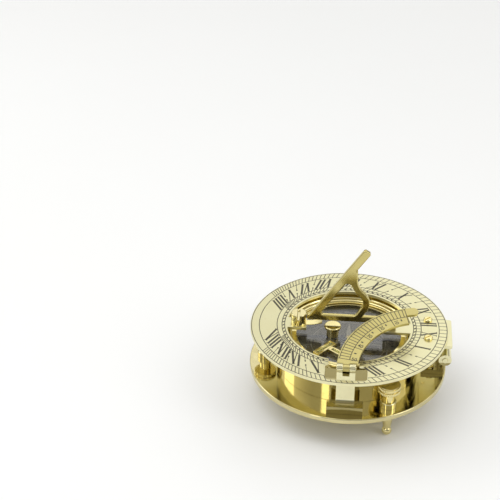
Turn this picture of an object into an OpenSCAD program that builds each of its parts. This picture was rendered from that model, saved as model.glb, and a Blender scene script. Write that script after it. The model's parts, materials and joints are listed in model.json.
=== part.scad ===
// Portable sundial with a levelling base, a tilting hour ring, a folding latitude arc and a folding gnomon.
// Millimetres. X points at noon, where the tilt hinge is. Y points at the forenoon side. Z is up from the table.

/* [Base plate] */
// Width of the plate beyond the axes of the levelling screws
plate_rim_w = 9.9; // [9:0.1:14]
// Thickness of the base plate
plate_t = 3.4; // [2.5:0.1:6]
// Height of the plate's underside above the table
plate_z = 18.5; // [17.8:0.1:26]
// Chamfer on the rim of the plate
plate_chamfer = 0.4; // [0.1:0.1:0.8]

/* [Levelling screws] */
// Gap between the heads of the levelling screws and the compass box
foot_box_gap = 0.6; // [0.4:0.1:2]
// Radius of the screw's stem
foot_stem_r = 3.7; // [3:0.1:4]
// Height of the stem's lower end above the table
foot_stem_z = 13.9; // [10:0.1:14]
// Radius of the waist above the ball
foot_neck_r = 2.4; // [2:0.1:2.8]
// Radius of the ball foot
foot_ball_r = 3.1; // [2.9:0.1:4]
// Radius of the flat under the ball foot
foot_flat_r = 1.3; // [0.8:0.1:2]
// Radius of the knurled head over its teeth
foot_head_r = 7.2; // [6:0.1:7.3]
// Height of the head's underside above the table
foot_head_z = 33.4; // [32:0.1:34]
// Height of each of the head's two knurled rims
foot_rim_h = 1.7; // [1.2:0.1:2]
// Width of the groove between the rims
foot_groove_h = 1.1; // [0.8:0.1:1.5]
// Depth of the groove and of the step on top of the head
foot_groove_d = 0.9; // [0.5:0.1:1.5]
// Number of teeth round the head
foot_teeth = 40; // [24:1:48]
// Depth of each tooth
foot_tooth_d = 0.4; // [0.2:0.1:0.6]
// Outer radius of the threaded boss on the plate
boss_r = 5; // [4.9:0.1:6]
// Height of the boss above the plate
boss_h = 4.1; // [2:0.1:6]

/* [Compass box] */
// Outer radius of the round box
box_r = 45.8; // [45:0.1:46]
// Height of the box above the plate
box_h = 24.7; // [24:0.1:25.2]
// Wall of the box round the bezel
box_wall = 2.4; // [1.8:0.1:2.6]
// Width of the ledge that carries the glass
box_ledge_w = 1.4; // [1:0.1:2.5]
// Height of the web's underside above the plate
web_up = 9; // [4:0.1:9]
// Thickness of the web that carries the compass card
web_t = 2; // [1.5:0.1:2.2]
// Depth of the glass's upper face below the top of the hour ring
glass_down = 7.1; // [6.8:0.1:7.6]
// Thickness of the glass
glass_t = 1.8; // [1:0.1:2]
// Inner radius of the bezel
bezel_r = 33.5; // [32:0.1:34]
// Radius of the bezel's bead
bezel_bead_r = 1.3; // [0.8:0.1:1.5]
// Distance of the bead's middle from the bezel's inner edge
bezel_bead_at = 4.3; // [3.5:0.1:5]
// Height of the bezel's thin inner lip
bezel_lip_h = 0.9; // [0.5:0.1:1.2]
// Height of the bezel at the wall of the box
bezel_h = 2.4; // [2:0.1:3]
// Width of the bezel's high outer band
bezel_band_w = 3.6; // [2:0.1:4]

/* [Compass] */
// Thickness of the compass card
card_t = 0.6; // [0.4:0.1:1]
// Length of the needle
needle_l = 66; // [50:1:76]
// Width of the needle at its middle
needle_w = 6.4; // [6:0.1:8]
// Thickness of the needle
needle_t = 0.5; // [0.3:0.1:0.8]
// Height of the pivot's point above the web
pivot_h = 5.6; // [5:0.1:5.8]
// Radius of the pivot's foot
pivot_r = 1.6; // [1.2:0.1:2.4]
// Radius of the pivot's slim upper end
pivot_tip_r = 0.5; // [0.4:0.05:0.7]
// Length of the pivot's slim upper end
pivot_tip_h = 2.2; // [1.6:0.1:2.4]
// Radius of the needle cap's hub
cap_r = 1.8; // [1.5:0.1:2.2]
// Radius of the needle cap's flange
cap_flange_r = 2.8; // [2.5:0.1:3.2]
// Depth of the hole in the needle cap
cap_hole_d = 1.6; // [1.2:0.1:1.8]
// Thickness of the needle cap above its hole
cap_roof_t = 0.7; // [0.5:0.1:0.9]

/* [Hour ring] */
// How far the hour ring's edge lies inside the rim of the base plate
ring_inset = 0.4; // [0.2:0.1:1]
// Width of the hour ring, from its edge to its opening
ring_w = 23.5; // [23:0.1:24]
// Thickness of the hour ring
ring_t = 2; // [1.6:0.1:2.6]
// Half width of the two tabs in the opening
tab_half_w = 5.6; // [5.2:0.1:6.5]
// Distance of the north tab's tip from the middle
north_tab_x = 22; // [20:0.1:23]
// Distance of the south tab's tip from the middle
south_tab_x = 27; // [26.5:0.1:27.2]
// Half length of the window round the latitude bracket
window_half_l = 13; // [12:0.1:14]
// Gap between the window's outer edge and the strap of the latitude bracket
window_out_gap = 6; // [5.5:0.1:6.3]
// Gap between the window's inner edge and that strap
window_in_gap = 6.5; // [5.5:0.1:7]
// Corner radius of the window
window_corner_r = 3; // [2:0.1:4]
// Reach of the throat towards the forenoon hours
throat_south = 11.2; // [11:0.1:12]
// Reach of the throat towards the noon hour
throat_north = 7.9; // [7.8:0.1:9]

/* [Engraving] */
// Depth of the engraved lines
engrave_d = 0.15; // [0.1:0.05:0.3]
// Width of the engraved circles
engrave_w = 0.5; // [0.3:0.05:0.6]
// Distances of the five engraved circles from the edge of the opening
engrave_at = [1.6, 3.3, 6.45, 17.85, 22.85];

/* [Tilt hinge] */
// Distance of the hinge axis in from the rim of the base plate
hinge_inset = 2; // [1.5:0.1:2.2]
// Height of the hinge axis above the base plate
hinge_up = 15.7; // [15:0.1:16.2]
// Outer radius of the hinge barrel
barrel_r = 4.1; // [3.5:0.1:4.5]
// Length of the hinge barrel
barrel_l = 35; // [32:0.5:38]
// Length of the middle knuckle
knuckle_l = 11.4; // [9:0.1:14]
// Radius of the hinge pin
pin_r = 1.7; // [1.2:0.1:2]
// How far the hinge pin stands out at each end
pin_out = 0.5; // [0.2:0.1:1]
// Thickness of the plate under the hour ring
leaf_t = 2; // [1.5:0.1:2.5]
// Width of the plate under the hour ring
leaf_w = 30; // [28:0.5:34]
// Gap between both leaves and the wall of the compass box
leaf_box_gap = 1.5; // [0.6:0.1:2.2]
// Thickness of the arm from that plate down to the middle knuckle
leaf_arm_t = 3.6; // [3:0.1:4]
// Corner radius of that plate
leaf_corner_r = 1.5; // [1:0.1:3]
// Thickness of the upright on the base
upright_t = 2.5; // [2:0.1:3]
// Width of the upright's foot
upright_foot_w = 21.2; // [21:0.1:24]
// Thickness of the flange on the base plate
flange_t = 3; // [2:0.1:3.5]

/* [Latitude bracket] */
// Gap between the strap and the wall of the compass box
strap_box_gap = 4.7; // [4.2:0.1:5]
// Thickness of the strap
strap_t = 3; // [2.6:0.1:3.2]
// Width of the strap and its fork
strap_w = 11.5; // [11:0.1:12.5]
// Width of the bracket's foot
bracket_foot_w = 22.4; // [20:0.1:26]
// How far the foot stands out in front of the strap
bracket_foot_out = 4.7; // [4:0.1:5]
// Height of the foot
bracket_foot_h = 5.2; // [4:0.1:6]
// Radius of the hollow curve between the strap and the foot
bracket_fillet_r = 3.8; // [2:0.1:4]
// Width of the slot in the fork
fork_slot_w = 4.2; // [4:0.1:5]
// Height of the slot's bottom above the underside of the hour ring
fork_slot_up = 0.6; // [0:0.1:1]
// Radius of the fork's rounded ears
ear_r = 2.8; // [2.6:0.1:2.9]

/* [Latitude arc] */
// Height of the arc's pin above the top of the hour ring
arc_pin_up = 3.7; // [3.6:0.1:4.2]
// Radius of the arc's pin
arc_pin_r = 1.3; // [1:0.1:1.5]
// How far the arc's pin stands out at each end
arc_pin_out = 0.4; // [0.2:0.1:0.8]
// Distance of the arc's centre from the hinge axis, towards the middle
arc_centre_in = 13.9; // [13.5:0.1:14.3]
// Distance of the arc's centre below its pin, with the arc raised
arc_centre_down = 0.5; // [0.3:0.1:0.8]
// How far the arc's outer edge lies beyond the middle of the strap
arc_beyond = 6; // [5.8:0.1:6.3]
// Width of the arc
arc_w = 12.8; // [12.2:0.1:13]
// Thickness of the arc
arc_t = 2; // [1.6:0.1:2.2]
// Angle of the folded arc above the hour ring
arc_rest = 13; // [12.5:0.1:14]
// Angle of the arc's end above its centre line
arc_end = 76; // [74:0.5:78]
// Angle of the finger's end above the same line
arc_finger_end = 85; // [82:0.5:86]
// Width of the finger beyond the arc's end
arc_finger_w = 6; // [5:0.1:7]
// Distance from the pin to the arc's straight root
arc_root = 3.2; // [3.1:0.1:3.6]
// Radius of the eye round the pin
arc_eye_r = 2.4; // [2.2:0.1:2.5]

/* [Gnomon] */
// Angle of the style above the hour ring
style_deg = 56; // [54:0.5:57]
// Distance from the middle to where the style's edge meets the hour ring
style_foot_x = 30.5; // [30:0.1:31]
// Width of the style
style_w = 5; // [4.4:0.1:5.2]
// Height of the style's tip above the hour ring
style_top = 56.4; // [50:0.1:60]
// Corner radius of the style's tip
style_tip_r = 1.5; // [0.6:0.1:2]
// Thickness of the gnomon
gnomon_t = 3; // [2.8:0.1:3.6]
// Height of the gnomon's pivots above the hour ring
gnomon_pivot_up = 5.6; // [5.5:0.1:6]
// Height of the gnomon's base bar
base_bar_h = 4.2; // [4:0.1:4.4]
// Chamfer at the ends of the base bar
base_bar_chamfer = 0.8; // [0.3:0.1:1]
// Radius of the opening's round corner between the style and the base bar
web_fillet_r = 1.6; // [1:0.1:2]
// Radius of the opening's round corner between the support and the base bar
leg_fillet_r = 4; // [2:0.1:5]
// Radius of the opening's round top
arch_r = 3.2; // [3:0.05:3.3]
// Place of the opening's round top, from the middle and from the hour ring
arch_at = [-1.9, 28.5];
// Width of the curved support
scroll_w = 4.2; // [3.4:0.1:4.6]
// Radius of the support's lower bow
scroll_low_r = 8.6; // [8:0.1:9]
// Distance of the lower bow's centre from the middle, towards noon
scroll_x = 1.7; // [1.4:0.1:2]
// Height of the lower bow's centre above the hour ring
scroll_up = 17.5; // [17.2:0.1:17.8]
// Angle at which the lower bow turns into the upper one
scroll_turn = 48.5; // [48:0.1:49]
// Radius of the support's upper bow
scroll_high_r = 15.4; // [15.2:0.1:15.6]
// Slope of the support's straight leg
leg_deg = 60; // [55:1:65]
// Radius of the gnomon's two pivots
pivot_pin_r = 0.75; // [0.6:0.05:0.8]
// Depth of each pivot in the gnomon
pivot_pin_in = 2.6; // [2:0.1:4]
// Depth of each pivot in its post or lug
pivot_pin_out = 2.4; // [2:0.1:2.6]

/* [Gnomon posts] */
// Distance of the round post from the middle
post_x = 32.3; // [32:0.1:32.6]
// Radius of the round post
post_r = 4.9; // [4.6:0.1:5]
// Height of the round post's top above the hour ring
post_top = 7.9; // [7.7:0.1:8.6]
// Width of the slot across the post
post_slot_w = 1.6; // [1.2:0.1:2]
// Depth of the slot across the post
post_slot_d = 3; // [2:0.1:3.2]
// Radius of the rivets under the post and the lug
rivet_r = 1.8; // [1.4:0.1:2]
// Thickness of the north lug along the noon line
lug_l = 4.6; // [4:0.1:5.2]
// Width of the north lug
lug_w = 6; // [5:0.1:7]
// Thickness of the leaf spring
spring_t = 0.5; // [0.4:0.1:0.6]
// Width of the leaf spring
spring_w = 5.2; // [4:0.1:6]
// Reach of the leaf spring beyond the post
spring_l = 10.2; // [8:0.1:10.5]
// Height of the leaf spring's free end above its root
spring_up = 2; // [1.4:0.1:2.1]

/* [Levels] */
// Height of the two level bars above the glass
level_h = 2.8; // [2.6:0.1:3]
// Width of the long level bar
long_w = 5; // [4:0.1:5.2]
// Width of the short level bar
short_w = 4.2; // [4:0.1:5]
// Direction of the long bar, measured from noon
long_deg = -128.5; // [-130:0.5:-127]
// Inner end of the long bar
long_start = [-9.2, -13.6];
// Distance along the long bar to the short one
short_at = 6.2; // [5:0.1:8]
// Radius of the two vials
vial_r = 0.95; // [0.7:0.05:1]
// Length of metal left at each end of a vial
vial_stop = 1.8; // [1.2:0.1:3]
// Distance of the round level from the middle, towards the south
bubble_x = 10.3; // [10:0.1:10.6]
// Distance of the round level from the noon line
bubble_y = 2; // [0:0.1:3]
// Radius of the round level's head
bubble_r = 5.4; // [5:0.1:5.5]
// Height of the round level's top above the hour ring
bubble_top = 0.8; // [0:0.1:1.2]
// Thickness of the round level's head
bubble_head_h = 1.9; // [1.5:0.1:3]
// Radius of the round level's stem
bubble_stem_r = 3.9; // [3:0.1:4.5]

/* [Screws] */
// Distance of the dial screws from the leaf's inner edge
dial_screw_in = 3.1; // [2.9:0.1:3.6]
// Distance of the dial screws from the noon line
dial_screw_y = 10.3; // [9:0.1:11]
// Head radius of the dial screws
dial_head_r = 2.8; // [2.4:0.1:3]
// Head height of the dial screws
dial_head_h = 1.6; // [1.2:0.1:2.2]
// Shank radius of the dial screws
dial_shank_r = 1.3; // [1:0.1:1.5]
// Distance of the hinge screws from the leaf's inner edge
hinge_screw_in = 5.5; // [4.7:0.1:6]
// Distance of the hinge screws from the noon line
hinge_screw_y = 7.6; // [6.5:0.1:7.8]
// Head radius of the hinge screws
hinge_head_r = 2.6; // [2.2:0.1:2.7]
// Head height of the hinge screws
hinge_head_h = 1.5; // [1:0.1:2]
// Head radius of the screws under the plate
sunk_head_r = 2.1; // [1.8:0.1:2.2]
// Shank radius of the screws under the plate
sunk_shank_r = 0.9; // [0.7:0.1:1]
// Depth of the screws under the plate in what they hold
sunk_grip = 3.4; // [2:0.1:3.8]
// Half distance between the two screws under the latitude bracket
bracket_screw_x = 7.4; // [6:0.1:8.5]

/* [Clearances] */
// Gap round a shaft that turns or slides
run_gap = 0.08; // [0.04:0.01:0.1]
// Gap round a pin, screw or rivet that stays still
fixed_gap = 0.05; // [0.02:0.01:0.08]
// Gap between pieces that move past each other
side_gap = 0.3; // [0.2:0.05:0.4]

/* [Hidden] */
$fn = 96;
// A little extra so that cuts pass right through
over = 1;
// A very small step
hair = 0.02;
// Distances from the middle, from the compass box outwards
foot_circle_r = box_r + foot_head_r + foot_box_gap;
plate_r = foot_circle_r + plate_rim_w;
ring_r = plate_r - ring_inset;
ring_hole_r = ring_r - ring_w;
leaf_x = box_r + leaf_box_gap;
hinge_x = plate_r - hinge_inset;
dial_screw_x = leaf_x + dial_screw_in;
hinge_screw_x = leaf_x + hinge_screw_in;
strap_y = box_r + strap_box_gap + strap_t;
window_out_y = strap_y + window_out_gap;
window_in_y = strap_y - strap_t - window_in_gap;
arc_out_r = hinge_x - arc_centre_in + arc_beyond;
// The middle of the object's outer box lies halfway between the plate's rim and the hinge barrel
middle_x = (hinge_x + barrel_r - plate_r) / 2;
plate_top = plate_z + plate_t;
// Heights of the box, the ring and the glass
box_top = plate_top + box_h;
ring_z = box_top + side_gap;
ring_top = ring_z + ring_t;
glass_top = ring_top - glass_down;
glass_z = glass_top - glass_t;
bezel_out_r = box_r - box_wall - fixed_gap;
well_r = box_r - box_wall - box_ledge_w;
web_z = plate_top + web_up;
web_top = web_z + web_t;
pivot_z = web_top + pivot_h;
needle_z = pivot_z - cap_hole_d + needle_t;
// Levelling screws: one at the south point and two at the noon side
foot_angles = [-60, 60, 180];
foot_bore_r = foot_stem_r + run_gap;
foot_head_h = 2 * foot_rim_h + foot_groove_h;
// Hinge
hinge_z = plate_top + hinge_up;
leaf_z = ring_z - leaf_t;
knuckle_half = knuckle_l / 2;
seam_half = knuckle_half + side_gap;
// Latitude arc and its bracket
arc_y = -strap_y + strap_t / 2;
arc_z = ring_top + arc_pin_up;
arc_centre = [hinge_x - arc_centre_in, -arc_centre_down];
tongue_w = fork_slot_w - side_gap;
// Gnomon
gnomon_z = ring_top + gnomon_pivot_up;
gnomon_x0 = -post_x + post_r + side_gap;
lug_x = north_tab_x + 3.3;
gnomon_x1 = lug_x - side_gap;
style_slope = tan(style_deg);
scroll_joint = scroll_low_r + scroll_high_r;
post_seat = ring_top + spring_t;
spring_bow_r = (spring_l * spring_l + spring_up * spring_up) / (2 * spring_up);
// Levels
level_end_r = bezel_r - side_gap;
short_deg = long_deg + 90;
short_start = long_start + short_at * [cos(long_deg), sin(long_deg)]
              + (long_w / 2) * [cos(short_deg), sin(short_deg)];
box_screw_r = (well_r + box_r) / 2;
box_screw_angles = [30, 150, 270];
bracket_screw_y = -strap_y;

// Puts a piece into the object's frame
module placed() {
    translate([-middle_x, 0, 0]) children();
}

// A flat ring sector of radius r and width w, between two angles less than 180 apart
module band(r, w, from, to) {
    far = 2 * (r + w);
    mid = (from + to) / 2;
    intersection() {
        difference() {
            circle(r + w / 2);
            circle(r - w / 2);
        }
        polygon([[0, 0], far * [cos(from), sin(from)], far * [cos(mid), sin(mid)],
                 far * [cos(to), sin(to)]]);
    }
}

// A flat rectangle with round corners, from its lowest to its highest corner
module round_rect(low, high, r) {
    translate([low.x + r, low.y]) square([high.x - low.x - 2 * r, high.y - low.y]);
    translate([low.x, low.y + r]) square([high.x - low.x, high.y - low.y - 2 * r]);
    for (x = [low.x + r, high.x - r])
        for (y = [low.y + r, high.y - r])
            translate([x, y]) circle(r, $fn = 32);
}

// A slotted screw with a round head, standing on z = 0 with its shank below
module slotted_screw(head_r, head_h, shank_r, shank_l) {
    difference() {
        union() {
            cylinder(r = head_r, h = head_h * 0.7);
            translate([0, 0, head_h * 0.7])
                cylinder(r1 = head_r, r2 = head_r * 0.8, h = head_h * 0.3);
            translate([0, 0, -shank_l]) cylinder(r = shank_r, h = shank_l + head_h / 4, $fn = 48);
        }
        translate([-head_r - over, -head_r * 0.14, head_h * 0.5])
            cube([2 * (head_r + over), head_r * 0.28, head_h]);
    }
}

// A screw with a sunk head, pointing up from z = 0, and the hole that it needs
module sunk_screw(gap = 0) {
    head_h = sunk_head_r - sunk_shank_r;
    difference() {
        union() {
            cylinder(r1 = sunk_head_r + gap, r2 = sunk_shank_r + gap, h = head_h, $fn = 48);
            cylinder(r = sunk_shank_r + gap, h = plate_t + sunk_grip + 4 * gap, $fn = 48);
        }
        if (gap == 0)
            translate([-sunk_head_r - over, -sunk_head_r * 0.15, -over])
                cube([2 * (sunk_head_r + over), sunk_head_r * 0.3, over + head_h / 2]);
    }
}

module at_box_screws() {
    for (a = box_screw_angles)
        translate([box_screw_r * cos(a), box_screw_r * sin(a), plate_z]) children();
}

module at_bracket_screws() {
    for (x = [-bracket_screw_x, bracket_screw_x])
        translate([x, bracket_screw_y, plate_z]) children();
}

module at_hinge_screws(z) {
    for (y = [-hinge_screw_y, hinge_screw_y]) translate([hinge_screw_x, y, z]) children();
}

module at_dial_screws(z) {
    for (y = [-dial_screw_y, dial_screw_y]) translate([dial_screw_x, y, z]) children();
}

module base_plate() {
    c = plate_chamfer;
    color("goldenrod") placed() difference() {
        translate([0, 0, plate_z])
            rotate_extrude($fn = 180)
                polygon([[0, 0], [plate_r - c, 0], [plate_r, c], [plate_r, plate_t - c],
                         [plate_r - c, plate_t], [0, plate_t]]);
        for (a = foot_angles)
            translate([foot_circle_r * cos(a), foot_circle_r * sin(a), plate_z - over])
                cylinder(r = foot_bore_r, h = plate_t + 2 * over);
        at_box_screws() sunk_screw(fixed_gap);
        at_bracket_screws() sunk_screw(fixed_gap);
        at_hinge_screws(plate_top - plate_t / 2)
            cylinder(r = dial_shank_r + fixed_gap, h = plate_t, $fn = 48);
    }
}

module foot_bosses() {
    color("gold") placed() for (a = foot_angles)
        translate([foot_circle_r * cos(a), foot_circle_r * sin(a), plate_top]) difference() {
            union() {
                cylinder(r = boss_r, h = boss_h - 0.5);
                translate([0, 0, boss_h - 0.5]) cylinder(r1 = boss_r, r2 = boss_r - 0.5, h = 0.5);
            }
            translate([0, 0, -over]) cylinder(r = foot_bore_r, h = boss_h + 2 * over);
        }
}

// One knurled disc with its teeth as a fine zigzag
module knurled_disc(h) {
    linear_extrude(h) polygon([for (i = [0:2 * foot_teeth - 1])
        let (r = foot_head_r - (i % 2) * foot_tooth_d, a = i * 180 / foot_teeth)
        [r * cos(a), r * sin(a)]]);
}

module levelling_screw(a) {
    ball_z = sqrt(foot_ball_r * foot_ball_r - foot_flat_r * foot_flat_r);
    neck_z = ball_z + foot_ball_r - 0.5;
    color("peru") placed() translate([foot_circle_r * cos(a), foot_circle_r * sin(a), 0]) {
        difference() {
            translate([0, 0, ball_z]) sphere(r = foot_ball_r, $fn = 48);
            translate([0, 0, -foot_ball_r]) cylinder(r = 2 * foot_ball_r, h = foot_ball_r);
        }
        translate([0, 0, ball_z]) cylinder(r = foot_neck_r * 0.8, h = foot_ball_r, $fn = 48);
        translate([0, 0, neck_z])
            cylinder(r1 = foot_neck_r, r2 = foot_stem_r - 0.2, h = foot_stem_z - neck_z, $fn = 48);
        translate([0, 0, foot_stem_z])
            cylinder(r = foot_stem_r, h = foot_head_z - foot_stem_z);
        translate([0, 0, foot_head_z]) {
            knurled_disc(foot_rim_h);
            cylinder(r = foot_head_r - foot_groove_d, h = foot_head_h + foot_groove_h / 2);
            translate([0, 0, foot_rim_h + foot_groove_h]) knurled_disc(foot_rim_h);
        }
    }
}

module levelling_screw_1() {
    levelling_screw(foot_angles[0]);
}

module levelling_screw_2() {
    levelling_screw(foot_angles[1]);
}

module levelling_screw_3() {
    levelling_screw(foot_angles[2]);
}

module compass_box() {
    color("darkgoldenrod") placed() difference() {
        translate([0, 0, plate_top]) cylinder(r = box_r, h = box_h, $fn = 180);
        translate([0, 0, plate_top - over]) cylinder(r = well_r, h = web_up + over, $fn = 180);
        translate([0, 0, web_top]) cylinder(r = well_r, h = box_h, $fn = 180);
        translate([0, 0, glass_z]) cylinder(r = box_r - box_wall, h = box_h, $fn = 180);
        at_box_screws() cylinder(r = sunk_shank_r + fixed_gap, h = plate_t + sunk_grip + over, $fn = 48);
        translate([0, 0, web_top - web_t / 2])
            cylinder(r = pivot_r + fixed_gap, h = web_t, $fn = 48);
    }
}

module compass_box_screws() {
    color("silver") placed() at_box_screws() sunk_screw();
}

module compass_card() {
    color("ivory") placed() translate([0, 0, web_top]) difference() {
        cylinder(r = well_r - side_gap, h = card_t, $fn = 180);
        translate([0, 0, -over]) cylinder(r = pivot_r + side_gap, h = card_t + 2 * over, $fn = 48);
    }
}

module needle_pivot() {
    taper_z = pivot_z - pivot_tip_h;
    color("silver") placed() {
        translate([0, 0, web_top - web_t / 2])
            cylinder(r = pivot_r, h = card_t + 1 + web_t / 2, $fn = 48);
        translate([0, 0, web_top + card_t + 1])
            cylinder(r1 = pivot_r, r2 = pivot_tip_r, h = taper_z - web_top - card_t - 1, $fn = 48);
        translate([0, 0, taper_z]) cylinder(r = pivot_tip_r, h = pivot_tip_h - run_gap, $fn = 48);
    }
}

module compass_needle() {
    color("steelblue") placed() translate([0, 0, needle_z]) difference() {
        linear_extrude(needle_t)
            polygon([[needle_l / 2, 0], [0, needle_w / 2], [-needle_l / 2, 0], [0, -needle_w / 2]]);
        translate([0, 0, -over]) cylinder(r = cap_r + fixed_gap, h = needle_t + 2 * over, $fn = 48);
    }
}

module needle_cap() {
    cap_z = pivot_z - cap_hole_d;
    color("gold") placed() difference() {
        union() {
            translate([0, 0, cap_z]) cylinder(r = cap_flange_r, h = needle_t, $fn = 48);
            translate([0, 0, cap_z]) cylinder(r = cap_r, h = cap_hole_d + cap_roof_t / 2, $fn = 48);
            translate([0, 0, pivot_z + cap_roof_t / 2])
                cylinder(r1 = cap_r, r2 = cap_r / 2, h = cap_roof_t / 2, $fn = 48);
        }
        translate([0, 0, cap_z - over])
            cylinder(r = pivot_tip_r + run_gap, h = cap_hole_d + over, $fn = 48);
    }
}

module compass_glass() {
    color("lightgrey") placed() translate([0, 0, glass_z])
        cylinder(r = bezel_out_r, h = glass_t, $fn = 180);
}

module bezel() {
    step_r = bezel_out_r - bezel_band_w;
    color("gold") placed() translate([0, 0, glass_top]) rotate_extrude($fn = 180) {
        translate([bezel_r, 0]) square([bezel_out_r - bezel_r, bezel_lip_h]);
        translate([step_r, 0])
            polygon([[0, 0], [bezel_band_w, 0], [bezel_band_w, bezel_h], [0.8, bezel_h], [0, bezel_h - 0.8]]);
        intersection() {
            translate([bezel_r + bezel_bead_at, bezel_lip_h]) circle(bezel_bead_r, $fn = 48);
            translate([bezel_r, 0]) square([bezel_out_r - bezel_r, 3 * bezel_h]);
        }
    }
}

// Length of a level bar from its start, along its direction, until a corner meets the circle inside the bezel
function reach(start, a, w) =
    min([for (side = [-1, 1])
        let (d = [cos(a), sin(a)], s = start + side * w / 2 * [-d.y, d.x], b = s * d)
        sqrt(b * b + level_end_r * level_end_r - s * s) - b]);

module level_bar(start, a, w) {
    slot_w = 2 * (vial_r + fixed_gap);
    l = reach(start, a, w);
    translate([start.x, start.y, glass_top]) rotate(a) difference() {
        translate([0, -w / 2, 0]) cube([l, w, level_h]);
        translate([vial_stop, -slot_w / 2, level_h - 1.6 * vial_r - 2 * fixed_gap])
            cube([l - 2 * vial_stop, slot_w, level_h]);
    }
}

module vial(start, a, w) {
    l = reach(start, a, w) - 2 * (vial_stop + fixed_gap);
    translate([start.x, start.y, glass_top + level_h - 0.6 * vial_r - fixed_gap]) rotate(a)
        translate([vial_stop + fixed_gap, 0, 0])
            rotate([0, 90, 0]) cylinder(r = vial_r, h = l, $fn = 48);
}

module level_long() {
    color("khaki") placed() level_bar(long_start, long_deg, long_w);
}

module level_short() {
    color("khaki") placed() level_bar(short_start, short_deg, short_w);
}

module level_vials() {
    color("palegreen") placed() {
        vial(long_start, long_deg, long_w);
        vial(short_start, short_deg, short_w);
    }
}

module round_level() {
    head_z = ring_top + bubble_top - bubble_head_h;
    edge = 0.5;
    color("gold") placed() translate([-bubble_x, -bubble_y, 0]) {
        translate([0, 0, glass_top]) cylinder(r = bubble_stem_r, h = head_z - glass_top);
        translate([0, 0, head_z]) cylinder(r = bubble_r, h = bubble_head_h - edge);
        translate([0, 0, head_z + bubble_head_h - edge])
            cylinder(r1 = bubble_r, r2 = bubble_r - edge, h = edge);
    }
}

// Outline of the hour ring with its tabs, its window and the throat for the latitude arc
module hour_ring_outline() {
    difference() {
        circle(ring_r, $fn = 180);
        difference() {
            circle(ring_hole_r, $fn = 180);
            translate([north_tab_x, -tab_half_w]) square([ring_hole_r, 2 * tab_half_w]);
            translate([-south_tab_x - ring_hole_r, -tab_half_w]) square([ring_hole_r, 2 * tab_half_w]);
        }
        round_rect([-window_half_l, -window_out_y], [window_half_l, -window_in_y], window_corner_r);
        translate([-throat_south, -window_in_y - over])
            square([throat_south + throat_north, window_in_y / 2]);
    }
}

module hour_ring() {
    color("palegoldenrod") placed() difference() {
        translate([0, 0, ring_z]) linear_extrude(ring_t) hour_ring_outline();
        for (at = engrave_at)
            translate([0, 0, ring_top - engrave_d]) difference() {
                cylinder(r = ring_hole_r + at + engrave_w / 2, h = over, $fn = 180);
                translate([0, 0, -over])
                    cylinder(r = ring_hole_r + at - engrave_w / 2, h = 3 * over, $fn = 180);
            }
        at_dial_screws(ring_z - over)
            cylinder(r = dial_shank_r + fixed_gap, h = ring_t + 2 * over, $fn = 48);
        for (x = [-post_x, lug_x + lug_l / 2])
            translate([x, 0, ring_z - over])
                cylinder(r = rivet_r + fixed_gap, h = ring_t + 2 * over, $fn = 48);
    }
}

// The leaf under the hour ring: a plate, an arm down its outer edge and the middle knuckle
module hinge_dial_leaf() {
    edge_x = hinge_x + barrel_r;
    color("goldenrod") placed() difference() {
        union() {
            translate([0, 0, leaf_z]) linear_extrude(leaf_t)
                round_rect([leaf_x, -leaf_w / 2], [edge_x, leaf_w / 2], leaf_corner_r);
            translate([edge_x - leaf_arm_t, -knuckle_half, hinge_z])
                cube([leaf_arm_t, knuckle_l, leaf_z - hinge_z + leaf_t / 2]);
            translate([hinge_x, -knuckle_half, hinge_z]) rotate([-90, 0, 0])
                cylinder(r = barrel_r, h = knuckle_l);
        }
        translate([hinge_x, -knuckle_half - over, hinge_z]) rotate([-90, 0, 0])
            cylinder(r = pin_r + run_gap, h = knuckle_l + 2 * over);
        at_dial_screws(leaf_z - over)
            cylinder(r = dial_shank_r + fixed_gap, h = leaf_t + 2 * over, $fn = 48);
    }
}

// The leaf on the base: a flange, an upright that widens to the barrel and the two outer knuckles
module hinge_base_leaf() {
    back = hinge_x;
    notch_half = seam_half + side_gap;
    color("goldenrod") placed() difference() {
        union() {
            translate([leaf_x, -upright_foot_w / 2, plate_top])
                cube([back - leaf_x, upright_foot_w, flange_t]);
            translate([back - upright_t, 0, plate_top]) rotate([90, 0, 90]) linear_extrude(upright_t)
                polygon([[-upright_foot_w / 2, 0], [upright_foot_w / 2, 0], [upright_foot_w / 2, flange_t],
                         [barrel_l / 2, hinge_up - barrel_r / 2], [barrel_l / 2, hinge_up],
                         [-barrel_l / 2, hinge_up], [-barrel_l / 2, hinge_up - barrel_r / 2],
                         [-upright_foot_w / 2, flange_t]]);
            translate([hinge_x, -barrel_l / 2, hinge_z]) rotate([-90, 0, 0])
                cylinder(r = barrel_r, h = barrel_l);
        }
        translate([hinge_x, -seam_half, hinge_z]) rotate([-90, 0, 0])
            cylinder(r = barrel_r + side_gap, h = 2 * seam_half);
        translate([back - 2 * barrel_r, -seam_half, hinge_z - barrel_r - side_gap])
            cube([3 * barrel_r, 2 * seam_half, 2 * barrel_r]);
        translate([hinge_x, -barrel_l / 2 - over, hinge_z]) rotate([-90, 0, 0])
            cylinder(r = pin_r + fixed_gap, h = barrel_l + 2 * over);
        at_hinge_screws(plate_top - over)
            cylinder(r = dial_shank_r + fixed_gap, h = flange_t + 2 * over, $fn = 48);
    }
}

module hinge_pin() {
    color("silver") placed() translate([hinge_x, -barrel_l / 2 - pin_out, hinge_z])
        rotate([-90, 0, 0]) cylinder(r = pin_r, h = barrel_l + 2 * pin_out);
}

module dial_screws() {
    color("gold") placed() at_dial_screws(ring_top)
        rotate(40) slotted_screw(dial_head_r, dial_head_h, dial_shank_r, ring_t + leaf_t);
}

module hinge_base_screws() {
    color("gold") placed() at_hinge_screws(plate_top + flange_t)
        rotate(-30) slotted_screw(hinge_head_r, hinge_head_h, dial_shank_r, flange_t + plate_t / 2);
}

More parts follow.
